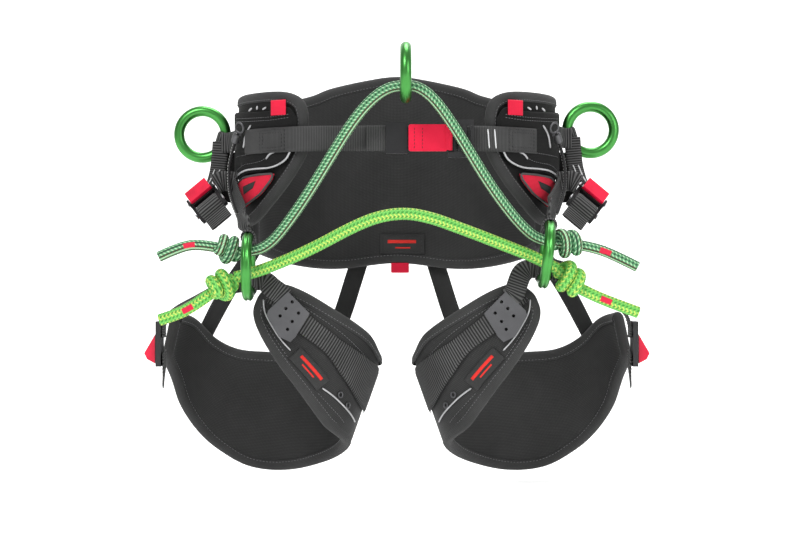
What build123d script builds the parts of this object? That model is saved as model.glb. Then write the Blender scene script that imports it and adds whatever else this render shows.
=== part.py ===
from build123d import *
import os
from math import cos, pi, radians, sin, sqrt, tan

# Tree-climbing work-positioning harness, in millimetres, +Z up, +X to the wearer's left, +Y to the back.
# The origin is the middle of the waist opening. Everything else is placed from these dimensions.

LEFT, RIGHT = -1, 1                       # picture side, and the sign of its X
SIDES = {LEFT: "left", RIGHT: "right"}

# waist belt: every layer is an oval wall with these outer half widths along X and Y
BACK_PAD = (149.6, 119.0, 11.0)           # half width, half depth, thickness
HIP_PAD = (159.0, 128.5, 9.1)
PANEL = (162.4, 131.9, 3.0)
INSERT = (162.9, 132.4, 3.4)
HIP_TAB = (165.1, 134.6, 2.2)
PATCH = (138.2, 107.6, 1.0)
HIP_REAR_Y = 30.0                         # how far each hip pad wraps to the back
PANEL_REAR_Y = -12.0                      # its panel stops in front of the side ring

# hardware
WEBBING = 25.0
RING_WIRE = 5.25                          # wire radius of the side and centre rings
RING_RADIUS = 23.25                       # wire's centre line, 36 mm inside, 57 mm outside
BRIDGE_WIRE = 5.0
BRIDGE_RADIUS = 28.0                      # 46 mm inside, 66 mm outside
BRIDGE_Y = -114.0
BRIDGE_X = {LEFT: -140.2, RIGHT: 141.0}
BRIDGE_Z = {LEFT: -96.5, RIGHT: -85.0}
BRIDGE_LEAN = {LEFT: 0.0, RIGHT: 6.6}     # degrees, the ring's top leans outwards
SIDE_RING_X = {LEFT: -194.5, RIGHT: 193.5}
SIDE_RING_Z = {LEFT: 35.5, RIGHT: 40.0}
CENTRE_RING = (8.3, -157.0, 82.3)
SLEEVE_GAP = 0.6                          # round a ring's wire
SLEEVE_WALL = 1.6

# ropes
UPPER_ROPE = 10.0                         # diameters
LOWER_ROPE = 11.0
CORD = 3.2
KNOT_ROUND = 7.0

# leg loop: a leaning oval tube, its middle line and half widths change with height
LEG_Z = -185.0                            # height at which the next values hold
LEG_X, LEG_X_SLOPE = 124.5, -0.28
LEG_HALF_X, LEG_HALF_X_SLOPE = 110.0, 0.07
LEG_HALF_Y = 82.0
LEG_Y = -2.0
LEG_TOP, LEG_BOTTOM = -95.0, -320.0
LEG_PAD = 10.0
LAYER_GAP = 0.4


# ---------- helpers ----------

def write(name, shape):
    """One STEP file per sub-part, named after it."""
    solids = shape.solids()
    body = solids[0] if len(solids) == 1 else Compound(children=list(solids))
    export_step(body, f"parts/{name}.step")


def mirrored(points, side):
    """Points of the right-hand side, as (x, z) or (x, y, z), put on the side asked for."""
    return [(side * p[0], *p[1:]) for p in points]


def front_prism(outline, front, back):
    """A prism along Y whose outline is (x, z) points."""
    face = make_face(Plane.XZ * Polyline(*outline, close=True))
    return Pos(0, back, 0) * extrude(face, amount=back - front, dir=(0, -1, 0))


def oval_wall(layer, low, high):
    """A standing oval wall of the belt; layer is half width, half depth and thickness."""
    half_x, half_y, thick = layer
    ring = Ellipse(half_x, half_y) - Ellipse(half_x - thick, half_y - thick)
    return Pos(0, 0, low) * extrude(ring, amount=high - low)


def belt_piece(layer, outline, front, back):
    """The part of a belt layer that lies inside an outline seen from the front."""
    heights = [z for _, z in outline]
    return oval_wall(layer, min(heights) - 5, max(heights) + 5) & front_prism(outline, front, back)


def leg_oval(z, side, grow):
    """The leg loop's oval at one height, grown or shrunk by grow."""
    rise = z - LEG_Z
    centre = (side * (LEG_X + LEG_X_SLOPE * rise), LEG_Y, z)
    half_x = LEG_HALF_X + LEG_HALF_X_SLOPE * rise + grow
    return Pos(*centre) * Ellipse(half_x, LEG_HALF_Y + grow)


def leg_wall(side, inner, outer):
    """The leg loop's wall between two offsets from the pad's outer face."""
    tubes = [loft([leg_oval(LEG_BOTTOM, side, grow), leg_oval(LEG_TOP, side, grow)])
             for grow in (outer, inner)]
    return tubes[0] - tubes[1]


def leg_layer(side, outline, inner, outer):
    """A layer on the front of a leg loop, with its outline as (x, z) on the right-hand side."""
    prism = front_prism(mirrored(outline, side), LEG_Y - 2 * LEG_HALF_Y, LEG_Y)
    return leg_wall(side, inner, outer) & prism


def strap(stations, width, thick):
    """Flat webbing through stations of (point, direction across the webbing)."""
    points = [Vector(*point) for point, _ in stations]
    sections = []
    for i, (point, across) in enumerate(stations):
        along = (points[min(i + 1, len(points) - 1)] - points[max(i - 1, 0)]).normalized()
        across = Vector(*across)
        across = (across - along * across.dot(along)).normalized()
        sections.append(Plane(origin=point, x_dir=across, z_dir=along) * Rectangle(width, thick))
    return loft(sections, ruled=True)


def strap_on(side, stations, width, thick):
    """The same webbing, with stations given for the right-hand side."""
    turned = [((side * p[0], p[1], p[2]), (side * a[0], a[1], a[2])) for p, a in stations]
    return strap(turned, width, thick)


def cord(name, points, diameter):
    """A round cord: straight runs joined by arcs as large as their runs allow."""
    points = [Vector(*p) for p in points]
    runs = [(b - a).length for a, b in zip(points, points[1:])]
    turns = [(b - a).get_angle(c - b) for a, b, c in zip(points, points[1:], points[2:])]
    radii = [0.45 * min(runs[i], runs[i + 1]) / tan(radians(turns[i] / 2)) for i in range(len(turns))]
    if radii:
        line = FilletPolyline(*points, radius=radii)
    else:
        line = Line(*points)
    tube = sweep(Plane(origin=line @ 0, z_dir=line % 0) * Circle(diameter / 2), path=line)
    expected = pi * diameter ** 2 / 4 * line.length
    print(f"{name}: length {line.length:.1f}, runs {min(runs):.0f} to {max(runs):.0f},"
          f" turns up to {max(turns, default=0):.0f} degrees, radii {[round(r) for r in radii]},"
          f" volume {tube.volume / expected:.4f} of section times length")
    return tube


def box(low, high):
    """A box between two corners."""
    size = [b - a for a, b in zip(low, high)]
    middle = [(a + b) / 2 for a, b in zip(low, high)]
    return Pos(*middle) * Box(*size)


def ring_frame(centre, lean=0.0):
    """A frame on a ring: Z is its axis, X points to the back and Y to its top."""
    axis = (cos(radians(lean)), 0, -sin(radians(lean)))
    return Plane(origin=centre, x_dir=(0, 1, 0), z_dir=axis)


def wire_sleeve(frame, radius, wire, start, sweep_angle):
    """Webbing sewn round a stretch of a ring's wire."""
    inside = wire + SLEEVE_GAP
    section = Circle(inside + SLEEVE_WALL) - Circle(inside)
    turned = revolve(Plane.XZ * Pos(radius, 0) * section, Axis.Z, sweep_angle)
    return frame.location * Rot(0, 0, start) * turned


# ---------- waist belt ----------

BACK_OUTLINE = [(0, 102), (31, 98), (72, 88), (93, 79), (126, 71), (170, 74), (170, -76), (140, -84),
                (100, -95), (60, -97), (0, -91), (-60, -97), (-100, -95), (-140, -84), (-170, -76),
                (-170, 74), (-126, 71), (-93, 79), (-72, 88), (-31, 98)]
HIP_OUTLINE = [(180, 70), (165, 70), (104, 67), (92, 60), (88, 48), (88, 14), (98, -4), (116, -27),
               (137, -49), (150, -56), (180, -60)]
PANEL_OUTLINE = [(180, 56), (153, 54), (121, 52), (104, 55), (95, 44), (98, 14), (110, 0), (129, -5),
                 (146, -6), (157, -12), (180, -24)]
INSERT_OUTLINE = [(117, -7.6), (133, -7.9), (150, -9.6), (158, -15.5), (162.5, -24), (158, -33), (151, -39.5),
                  (141, -34), (131, -27), (119, -14)]
TAB_OUTLINE = [(106, 47.5), (121, 47.5), (121, 62), (106, 62)]
PATCH_OUTLINE = [(-18, -83), (29, -83), (29, -62), (-18, -62)]
DEEP = 200.0                              # further than any belt layer reaches along Y


def waist():
    write("back_pad", belt_piece(BACK_PAD, BACK_OUTLINE, 0, DEEP))
    write("rear_label_patch", belt_piece(PATCH, PATCH_OUTLINE, 0, DEEP))
    folded = box((-6.5, 109.5, -103.5), (12.5, 113.5, -92.6))
    write("rear_gear_loop", folded - box((-7, 110.8, -102.2), (13, 112.2, -92)))
    for side, name in SIDES.items():
        write(f"{name}_hip_pad", belt_piece(HIP_PAD, mirrored(HIP_OUTLINE, side), -DEEP, HIP_REAR_Y))
        write(f"{name}_hip_panel", belt_piece(PANEL, mirrored(PANEL_OUTLINE, side), -DEEP, PANEL_REAR_Y))
        write(f"{name}_hip_insert", belt_piece(INSERT, mirrored(INSERT_OUTLINE, side), -DEEP, 0))
        write(f"{name}_hip_tab", belt_piece(HIP_TAB, mirrored(TAB_OUTLINE, side), -DEEP, 0))


STRAP_Z = 24.0                            # middle of the front strap
STRAP_THICK = 1.8
KEEPER_X = (-10.0, 10.0)
TAB_HUB = (50.2, -129.0)                  # X and Y of the red tab's pivot
TAB_TIP_X = 11.0


def front_strap():
    upright = (0, 0, 1)
    left_line = [(-147, -59.2, 0), (-134, -76.8, 0), (-120, -91.3, 0), (-105, -102.8, 0), (-92, -110.8, 0),
                 (-70, -117, 0), (-35, -119, 0), (0, -119.6, 0), (30, -119.4, 0), (58, -118.2, 0)]
    right_line = [(66, -117.6, 0), (78, -115.4, 0), (92, -110.8, 0), (105, -102.8, 0), (120, -91.3, 0),
                  (134, -76.8, 0)]
    tail_line = [(-29, -121.4, 0), (0, -121.9, 0), (28, -121.8, 0), (46, -121.2, 0)]
    for name, line in (("waist_strap_left", left_line), ("waist_strap_right", right_line),
                       ("waist_strap_tail", tail_line)):
        write(name, strap([((x, y, STRAP_Z), upright) for x, y, _ in line], WEBBING - 1, STRAP_THICK))

    low, high = KEEPER_X
    passage = box((low - 1, -123.6, 11.2), (high + 1, -118, 36.8))
    write("strap_keeper", box((low, -125.2, 9.6), (high, -116.4, 38.4)) - passage)

    slots = [((55, -131, 10.5), (60.5, -123, 36)), ((65, -131, 10.5), (69, -123, 36)),
             ((47, -131, 10.5), (54, -126, 37))]
    frame = box((48, -130, 5.5), (72, -123.5, 41))
    for corner, opposite in slots:
        frame = frame - box(corner, opposite)
    write("waist_buckle_frame", frame)
    hub_x, hub_y = TAB_HUB
    plate = box((TAB_TIP_X, -129.4, 11.5), (hub_x - 2.7, -124.2, 36.5))
    plate = fillet(plate.edges().filter_by(Axis.Y), 2)
    hub = Pos(hub_x, hub_y, STRAP_Z) * Cylinder(2.0, 23.5)
    arm = box((hub_x - 4.2, -130.5, 12.5), (hub_x, -127.5, 35.5))
    write("waist_buckle_tab", plate + hub + arm)


# ---------- side rings and hip adjusters ----------

HELD_AT = radians(17)                     # below the ring's middle, on its inner side
WRAP_BORE = 7.1                           # lets the ring swing
WRAP_LENGTH = 16.0
ADJUST_U = (-0.77, 0, 0.64)               # across the webbing in the adjuster
ADJUST_V = (-0.4545, -0.7045, -0.5455)    # along it, downwards
ADJUST_AT = (183.0, -54.0, -36.0)


def side_ring(side, name):
    centre = (SIDE_RING_X[side], 0, SIDE_RING_Z[side])
    flat = Plane(origin=centre, x_dir=(-side, 0, 0), z_dir=(0, side, 0))
    write(f"{name}_side_ring", flat.location * Torus(RING_RADIUS, RING_WIRE))
    x, z = abs(centre[0]), centre[2]
    held = Vector(side * (x - RING_RADIUS * cos(HELD_AT)), 0, z - RING_RADIUS * sin(HELD_AT))
    wire_line = Vector(-side * sin(HELD_AT), 0, cos(HELD_AT))
    wrap = Plane(origin=held, z_dir=wire_line).location * (Cylinder(WRAP_BORE + SLEEVE_WALL, WRAP_LENGTH)
                                                           - Cylinder(WRAP_BORE, WRAP_LENGTH + 2))
    fall = [((x - 19, -10.2, z - 8), (1, 0, 0.15)), ((x - 18, -11.5, z - 24), (1, 0, 0.2)),
            ((x - 16, -18, z - 40), (0.95, 0, -0.2)), ((x - 10, -33, z - 54), (0.77, 0, -0.64)),
            ((x - 5.5, -39, z - 58), (0.77, 0, -0.64))]
    write(f"{name}_side_strap", Compound(children=[wrap, strap_on(side, fall, 16, 2.4)]))


def adjuster(side, name):
    """The quick adjuster on the hip, its red lever and the webbing that it holds."""
    across = Vector(side * ADJUST_U[0], ADJUST_U[1], ADJUST_U[2])
    along = Vector(side * ADJUST_V[0], ADJUST_V[1], ADJUST_V[2])
    out = along.cross(across) if side == RIGHT else across.cross(along)
    if out.Y > 0:
        out = out * -1
    at = Vector(side * ADJUST_AT[0], ADJUST_AT[1], ADJUST_AT[2])
    plane = Plane(origin=at, x_dir=across, z_dir=out)
    down = 1 if plane.y_dir.dot(along) > 0 else -1
    here = plane.location

    frame = Box(31, 32, 4) - Pos(0, down * 8, 0) * Box(25, 5, 6) - Pos(0, -down * 8, 0) * Box(25, 6, 6)
    frame = fillet(frame.edges().filter_by(Axis.Z), 1.2)
    ears = Pos(-14.3, -down * 12, 5) * Box(2.4, 8, 6) + Pos(14.3, -down * 12, 5) * Box(2.4, 8, 6)
    write(f"{name}_adjuster_frame", here * (frame + ears))
    pin = Pos(0, -down * 12, 6) * Rot(0, 90, 0) * Cylinder(2.2, 25.4)
    lever = Pos(0, -down * 17, 8) * Box(25, 16, 2.4) + pin
    write(f"{name}_adjuster_lever", here * lever)
    roll = Pos(0, down * 12, 7) * Rot(0, 90, 0) * Cylinder(4.2, 24)
    tail = Pos(0, down * 26, 1.5) * Box(24, 18, 2.2)
    bridge = Pos(0, down * 18.8, 4.4) * Box(24, 4.4, 5.4)
    write(f"{name}_adjuster_strap", here * (roll + bridge + tail))


# ---------- bridge rings and their webbing ----------

def bridge_ring(side, name):
    frame = ring_frame((BRIDGE_X[side], BRIDGE_Y, BRIDGE_Z[side]), side * BRIDGE_LEAN[side])
    ring = Torus(BRIDGE_RADIUS, BRIDGE_WIRE)
    groove = Torus(BRIDGE_RADIUS + BRIDGE_WIRE + 0.9, 1.9)
    write(f"{name}_bridge_ring", frame.location * (ring - groove))
    wrap = wire_sleeve(frame, BRIDGE_RADIUS, BRIDGE_WIRE, 48, 52)
    angle = radians(74)
    top = frame.from_local_coords(Vector(BRIDGE_RADIUS * cos(angle), BRIDGE_RADIUS * sin(angle), 0))
    x, y, z = abs(top.X), top.Y, top.Z
    lift = BRIDGE_Z[side] - BRIDGE_Z[LEFT]
    upright, slanted = (0, -0.96, 0.28), (-0.3, -0.56, 0.76)
    run = [((x, y + 2.3, z + 8), upright), ((x, y + 4.3, z + 15), upright),
           ((147.5, -87, -50 + 0.8 * lift), (-0.3, -0.6, 0.6)), ((151.5, -68, -41 + 0.5 * lift), slanted),
           ((157.5, -51, -29 + 0.3 * lift), slanted), ((163, -34, -15), slanted)]
    write(f"{name}_ring_webbing", Compound(children=[wrap, strap_on(side, run, WEBBING - 2, 2.6)]))


# ---------- ropes, knots and cords ----------

UPPER_SPAN = [(-149, -111, -82.5), (-135, -112, -82.5), (-120, -112, -76), (-103, -114, -56),
              (-82, -121, -26), (-62, -130, 6), (-42, -140, 37), (-26, -148, 56), (-9, -155, 68.5),
              (8, -157, 70.7), (21, -156.5, 69), (35, -153, 58), (50, -148, 38), (66, -141, 13),
              (83, -132, -14), (101, -123, -39), (119, -115, -60), (134, -112, -71.5), (149.5, -111, -74)]
LOWER_SPAN = [(-153, -112.5, -107), (-140, -112, -103.5), (-124, -113, -98.5), (-101, -118, -89.5),
              (-73, -126, -76.5), (-44, -134, -61), (-18, -139, -50), (8, -140, -46.5), (32, -139, -51),
              (57, -134, -60), (84, -127, -70), (110, -119, -80), (130, -114, -87.5), (152, -113, -99)]
TAILS = {
    "upper": {LEFT: [(-170, -110, -78.5), (-188, -110, -75), (-206, -111, -78.5), (-225, -112, -87.5)],
              RIGHT: [(170.5, -110, -76), (187, -110, -78.5), (208, -111, -87), (227.5, -112, -97)]},
    "lower": {LEFT: [(-176, -115.5, -122.5), (-189, -116, -132), (-205, -116, -141), (-224, -116, -147)],
              RIGHT: [(172, -115.5, -117), (187, -116, -124.5), (206, -116, -132), (228, -116, -140)]}}
KNOT_RADIUS = {"upper": 14.6, "lower": 14.4}


def knot(start, end, radius):
    """A stopper knot as a plain rounded barrel between two points of its rope."""
    start, end = Vector(*start), Vector(*end)
    middle = (start + end) * 0.5
    barrel = Cylinder(radius, (end - start).length)
    barrel = fillet(barrel.edges(), KNOT_ROUND)
    return Plane(origin=middle, z_dir=(end - start)).location * barrel


def ropes():
    for name, span, diameter in (("upper", UPPER_SPAN, UPPER_ROPE), ("lower", LOWER_SPAN, LOWER_ROPE)):
        pieces = [cord(f"{name} span", span, diameter)]
        for side, word in SIDES.items():
            tail = TAILS[name][side]
            pieces.append(cord(f"{name} {word} tail", tail, diameter))
            end = span[0] if side == LEFT else span[-1]
            write(f"{word}_{name}_knot", knot(end, tail[0], KNOT_RADIUS[name]))
        write(f"{name}_bridge_rope", Compound(children=pieces))
    write("centre_ring", ring_frame(CENTRE_RING).location * Torus(RING_RADIUS, RING_WIRE))


HIP_CORD = [(153, -90, -46), (156, -77, -40), (160.5, -62, -30), (164, -50, -16), (164.5, -44, 0),
            (162, -45.5, 12), (158, -52.5, 24), (154.5, -58, 33)]
LOCK_BETWEEN = (6, 7)                     # the lock sits on this run of the cord
LOCK_LENGTH, LOCK_RADIUS, LOCK_BORE = 9.0, 4.0, 2.1


def hip_cord(side, name):
    points = mirrored(HIP_CORD, side)
    line = cord(f"{name} accessory cord", points, CORD)
    a, b = (Vector(*points[i]) for i in LOCK_BETWEEN)
    top = Plane(origin=b + (b - a).normalized() * 5.2, x_dir=(b - a), z_dir=(side * 0.5, -0.87, 0))
    loop = top.location * Torus(5.0, 0.9)
    write(f"{name}_accessory_cord", Compound(children=[line, loop]))
    middle = (a + b) * 0.5
    lock = Plane(origin=middle, z_dir=(b - a)).location * (Cylinder(LOCK_RADIUS, LOCK_LENGTH)
                                                        - Cylinder(LOCK_BORE, LOCK_LENGTH + 2))
    write(f"{name}_cord_lock", lock)


# ---------- leg loops ----------

LEG_FRONT = [(115.6, -114.7), (131.7, -123.8), (137.5, -136), (137, -145), (127.6, -166), (113.6, -187.3),
             (100.5, -204.4), (76.2, -236.7), (60, -256), (46, -275), (0, -275), (0, -185), (15, -185),
             (26, -163), (54, -143), (92, -121)]
LEG_BACK = [(0, -275), (46, -275), (69, -294), (111, -306), (153, -303), (185, -285), (206, -266),
            (223, -238), (230, -207), (236, -186), (245, -178), (245, -143), (210, -143), (190, -172),
            (165, -184), (132, -187), (101, -188), (15, -185), (0, -185)]
LEG_BAND = [(114, -115), (98, -126), (82.8, -144), (64, -159.6), (50, -171), (27, -188.5), (14, -200),
            (16, -240), (33, -244), (39.4, -230), (53, -204.4), (70, -179), (94.4, -159.6), (108, -144),
            (124, -131)]
LEG_PLATE = [(104, -120.5), (83.5, -141.4), (97, -164), (102, -168.7), (113, -163.5), (124.5, -143.5),
             (123, -138.5)]
LEG_LABEL = [(92.2, -174), (65.3, -206.4), (77.8, -216), (103.7, -184.3)]
PLATE_HOLES = [(100, -130.3), (106, -136.6), (94, -141), (111.5, -143.7), (100, -149), (104.5, -156.5)]


def leg(side, name):
    wall = leg_wall(side, -LEG_PAD, 0)
    half = 2 * LEG_HALF_Y
    front = wall & front_prism(mirrored(LEG_FRONT, side), LEG_Y - half, LEG_Y)
    back = wall & front_prism(mirrored(LEG_BACK, side), LEG_Y, LEG_Y + half)
    write(f"{name}_leg_pad", front + back)

    frame = ring_frame((BRIDGE_X[side], BRIDGE_Y, BRIDGE_Z[side]), side * BRIDGE_LEAN[side])
    wrap = wire_sleeve(frame, BRIDGE_RADIUS, BRIDGE_WIRE, -56, 52)
    angle = radians(-30)
    near = frame.from_local_coords(Vector(BRIDGE_RADIUS * cos(angle), BRIDGE_RADIUS * sin(angle), 0))
    x, y, z = abs(near.X), near.Y, near.Z
    tangent = (0, 0.5, 0.87)
    inward = [((x - 8, y, z), tangent), ((x - 14, y, z), (-0.15, 0.42, 0.86)),
              ((x - 21, y - 1.5, z - 6), (-0.5, 0.1, 0.83)), ((112, -89.4, -122), (-0.6, 0, 0.8))]
    band = leg_layer(side, LEG_BAND, LAYER_GAP, LAYER_GAP + 2.2)
    write(f"{name}_leg_webbing", Compound(children=[wrap, strap_on(side, inward, 22, 2.0), band]))

    plate = leg_layer(side, LEG_PLATE, 2 * LAYER_GAP + 3.4, 2 * LAYER_GAP + 5.0)
    for hole in PLATE_HOLES:
        plate = plate - Pos(side * hole[0], LEG_Y - LEG_HALF_Y, hole[1]) * Rot(90, 0, 0) * Cylinder(1.6, 40)
    write(f"{name}_leg_plate", plate)
    write(f"{name}_leg_label", leg_layer(side, LEG_LABEL, LAYER_GAP, LAYER_GAP + 1.2))

    upper = [((x + 7.7, y, z), tangent), ((x + 13, y + 1, z - 1), tangent),
             ((x + 28, y + 8, z - 5), (0, 0.7, 0.6)), ((185, -68, -121), (0, 1, 0.2)),
             ((206, -54, -131), (0, 1, 0)), ((222, -44, -142), (0, 1, 0)), ((227.5, -40, -153), (0, 1, 0)),
             ((228.2, -40, -166), (0, 1, 0))]
    lower = [((228.2, -39, -180), (0, 1, 0)), ((228.4, -37, -192), (0, 1, 0.2)),
             ((229, -30, -200), (0, 0.8, 0.5)), ((231, -18, -205), (0, 0.5, 0.8)),
             ((233, -4.5, -206), (0, 0.1, 1))]
    pieces = [strap_on(side, line, WEBBING - 1, 2.2) for line in (upper, lower)]
    write(f"{name}_leg_outer_strap", Compound(children=pieces))

    low, high = (230, -54, -194), (235, -26, -150)
    buckle = box(low, high)
    for bottom in (-162, -190):
        buckle = buckle - box((229, -50, bottom), (236, -30, bottom + 6))
    buckle = buckle if side == RIGHT else mirror(buckle, Plane.YZ)
    write(f"{name}_leg_buckle", buckle)
    wedge = make_face(Plane.XZ * Polyline((236, -163), (246.5, -181), (243.5, -187), (236, -191), close=True))
    lever = Pos(0, -30, 0) * extrude(wedge, amount=20, dir=(0, -1, 0))
    lever = lever if side == RIGHT else mirror(lever, Plane.YZ)
    write(f"{name}_leg_lever", lever)

    inner = [((38, 121.6, -84), (1, 0, 0)), ((46, 116, -110), (1, 0, 0.2)), ((58, 102, -148), (1, 0, 0.2)),
             ((74, 84, -186), (1, 0.3, 0.2)), ((77, 80.5, -199), (1, 0.3, 0.2))]
    outer = [((143, 48, -72), (0.75, -0.66, 0)), ((152, 49, -88), (0.8, -0.6, 0.2)),
             ((176, 56, -125), (0.8, -0.5, 0.3)), ((197, 62, -164), (0.75, -0.6, 0.3)),
             ((203.5, 59, -179), (0.75, -0.6, 0.3))]
    bands = [strap_on(side, line, 19, 1.6) for line in (inner, outer)]
    write(f"{name}_leg_elastics", Compound(children=bands))


def main():
    os.makedirs("parts", exist_ok=True)
    waist()
    front_strap()
    ropes()
    for side, name in SIDES.items():
        side_ring(side, name)
        adjuster(side, name)
        bridge_ring(side, name)
        hip_cord(side, name)
        leg(side, name)


main()
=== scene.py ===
import bmesh
import bpy
from math import asin, cos, floor, pi, radians, sin, sqrt, tau
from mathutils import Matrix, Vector


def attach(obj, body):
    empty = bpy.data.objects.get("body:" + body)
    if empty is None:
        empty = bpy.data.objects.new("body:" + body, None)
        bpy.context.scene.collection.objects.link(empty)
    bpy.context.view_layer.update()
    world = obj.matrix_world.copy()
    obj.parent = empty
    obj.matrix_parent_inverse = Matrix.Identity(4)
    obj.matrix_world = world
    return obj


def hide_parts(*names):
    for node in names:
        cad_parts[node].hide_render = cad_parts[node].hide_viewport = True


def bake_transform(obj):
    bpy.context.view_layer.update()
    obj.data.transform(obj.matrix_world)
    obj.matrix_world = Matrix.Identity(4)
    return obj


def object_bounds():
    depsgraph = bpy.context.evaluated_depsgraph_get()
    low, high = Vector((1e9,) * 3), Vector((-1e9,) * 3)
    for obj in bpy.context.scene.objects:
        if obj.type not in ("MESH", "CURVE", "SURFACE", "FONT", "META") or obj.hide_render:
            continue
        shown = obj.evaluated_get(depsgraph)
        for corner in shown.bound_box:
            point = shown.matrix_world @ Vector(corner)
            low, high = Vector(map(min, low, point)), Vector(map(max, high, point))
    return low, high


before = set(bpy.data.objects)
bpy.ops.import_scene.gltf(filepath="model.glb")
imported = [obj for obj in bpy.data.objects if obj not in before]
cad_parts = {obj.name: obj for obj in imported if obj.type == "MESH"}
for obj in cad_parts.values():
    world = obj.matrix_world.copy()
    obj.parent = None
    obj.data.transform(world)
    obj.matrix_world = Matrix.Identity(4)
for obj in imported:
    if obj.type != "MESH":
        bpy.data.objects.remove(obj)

# Tree-climbing work-positioning harness, in metres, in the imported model's frame: +Z up, the origin in the
# middle of the waist opening, the front towards -Y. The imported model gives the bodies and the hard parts;
# the soft parts, ropes and rings are built here.

CAD_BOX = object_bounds()
LEFT, RIGHT = -1, 1
SIDES = {LEFT: "left", RIGHT: "right"}
MM = 0.001

# driving dimensions, the same as the model's
BELT = {"back": (0.1496, 0.1190), "hip": (0.1590, 0.1285), "panel": (0.1624, 0.1319),
        "insert": (0.1629, 0.1324), "tab": (0.1651, 0.1346), "patch": (0.1382, 0.1076)}
LEG_Z, LEG_X, LEG_X_SLOPE = -0.185, 0.1245, -0.28
LEG_HALF_X, LEG_HALF_X_SLOPE, LEG_HALF_Y, LEG_Y = 0.110, 0.07, 0.082, -0.002
BRIDGE = {LEFT: (-0.1402, -0.1140, -0.0965), RIGHT: (0.1410, -0.1140, -0.0850)}
BRIDGE_LEAN = {LEFT: 0.0, RIGHT: radians(-6.6)}
BRIDGE_RADIUS, BRIDGE_WIRE = 0.028, 0.005
SIDE_RING = {LEFT: (-0.1945, 0.0, 0.0355), RIGHT: (0.1935, 0.0, 0.0400)}
RING_RADIUS, RING_WIRE = 0.02325, 0.00525
CENTRE_RING = (0.0083, -0.1570, 0.0823)
HELD_AT = radians(17)                     # a side ring's webbing, below its middle on the inner side
STRAP_WIDTH = 0.024
FRONT_STRAP_Z = 24                        # in millimetres
RING_SLEEVE, LEG_SLEEVE = (48, 52), (-56, 52)   # start and sweep round a bridge ring, in degrees
RING_EXIT, LEG_EXIT = 74, -30             # where the webbing leaves those sleeves
WAVE_BANDS = 3.18                         # bands to a unit in a wave texture of scale 1


# ---------- materials ----------

def new_material(name, values=None):
    material = bpy.data.materials.new(name)
    material.use_nodes = True
    tree = material.node_tree
    shader = tree.nodes["Principled BSDF"]
    for key, value in (values or {}).items():
        shader.inputs[key].default_value = value
    return material, tree, shader


def node(tree, kind, inputs=None, **settings):
    made = tree.nodes.new(kind)
    for key, value in settings.items():
        setattr(made, key, value)
    for key, value in (inputs or {}).items():
        if isinstance(value, bpy.types.NodeSocket):
            tree.links.new(value, made.inputs[key])
        else:
            made.inputs[key].default_value = value
    return made


def ramp(tree, source, stops):
    made = node(tree, "ShaderNodeValToRGB", {"Fac": source})
    made.color_ramp.elements[0].position, made.color_ramp.elements[0].color = stops[0][0], (*stops[0][1], 1)
    made.color_ramp.elements[1].position, made.color_ramp.elements[1].color = stops[-1][0], (*stops[-1][1],
                                                                                             1)
    for place, colour in stops[1:-1]:
        made.color_ramp.elements.new(place).color = (*colour, 1)
    return made.outputs["Color"]


def grey(value):
    return (value, value, value)


def mixed(tree, factor, a, b, mode="MIX"):
    made = node(tree, "ShaderNodeMix", data_type="RGBA", blend_type=mode)
    for key, value in ((0, factor), (6, a), (7, b)):
        if isinstance(value, bpy.types.NodeSocket):
            tree.links.new(value, made.inputs[key])
        else:
            made.inputs[key].default_value = value if key == 0 else (*value, 1)
    return made.outputs[2]


def bump(tree, shader, heights):
    """Chains bumps of (height socket, strength, distance)."""
    normal = None
    for height, strength, distance in heights:
        made = node(tree, "ShaderNodeBump", {"Height": height, "Strength": strength, "Distance": distance})
        if normal:
            tree.links.new(normal, made.inputs["Normal"])
        normal = made.outputs["Normal"]
    tree.links.new(normal, shader.inputs["Normal"])


def noise(tree, scale, detail, coords):
    values = {"Scale": scale, "Detail": detail, "Vector": coords}
    return node(tree, "ShaderNodeTexNoise", values).outputs["Fac"]


def clouded(tree, shader, colour, patches, low, high):
    """The base colour, made darker and lighter by patches."""
    cloudy = ramp(tree, patches, [(0.3, grey(low)), (0.7, grey(high))])
    tree.links.new(mixed(tree, 1.0, colour, cloudy, "MULTIPLY"), shader.inputs["Base Color"])


def shaded(tree, shader, colour, patches, low, high):
    """One plain colour, between its darker and lighter tone by patches."""
    stops = [(0.3, tuple(low * c for c in colour)), (0.7, tuple(min(1, high * c) for c in colour))]
    tree.links.new(ramp(tree, patches, stops), shader.inputs["Base Color"])


def woven(name, dark, light, pitch, sheen, roughness=0.85, tint=(1, 1, 1)):
    """Plain-woven cloth, its threads along the mesh's UVs, which are in metres."""
    material, tree, shader = new_material(name, {"Roughness": roughness, "Specular IOR Level": 0.18,
                                                 "Sheen Weight": sheen, "Sheen Roughness": 0.4})
    coords = node(tree, "ShaderNodeTexCoord").outputs
    waves = [node(tree, "ShaderNodeTexWave", {"Scale": 1 / pitch / WAVE_BANDS, "Vector": coords["UV"]},
                  bands_direction=direction).outputs["Fac"] for direction in ("X", "Y")]
    weave = node(tree, "ShaderNodeMath", {0: waves[0], 1: waves[1]}, operation="MULTIPLY").outputs[0]
    colour = mixed(tree, weave, tuple(dark * t for t in tint), tuple(light * t for t in tint))
    clouded(tree, shader, colour, noise(tree, 22.0, 5.0, coords["Object"]), 0.82, 1.12)
    fuzz = noise(tree, 900.0, 3.0, coords["Object"])
    bump(tree, shader, [(weave, 0.5, 0.0003), (fuzz, 0.25, 0.0002)])
    return material


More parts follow.
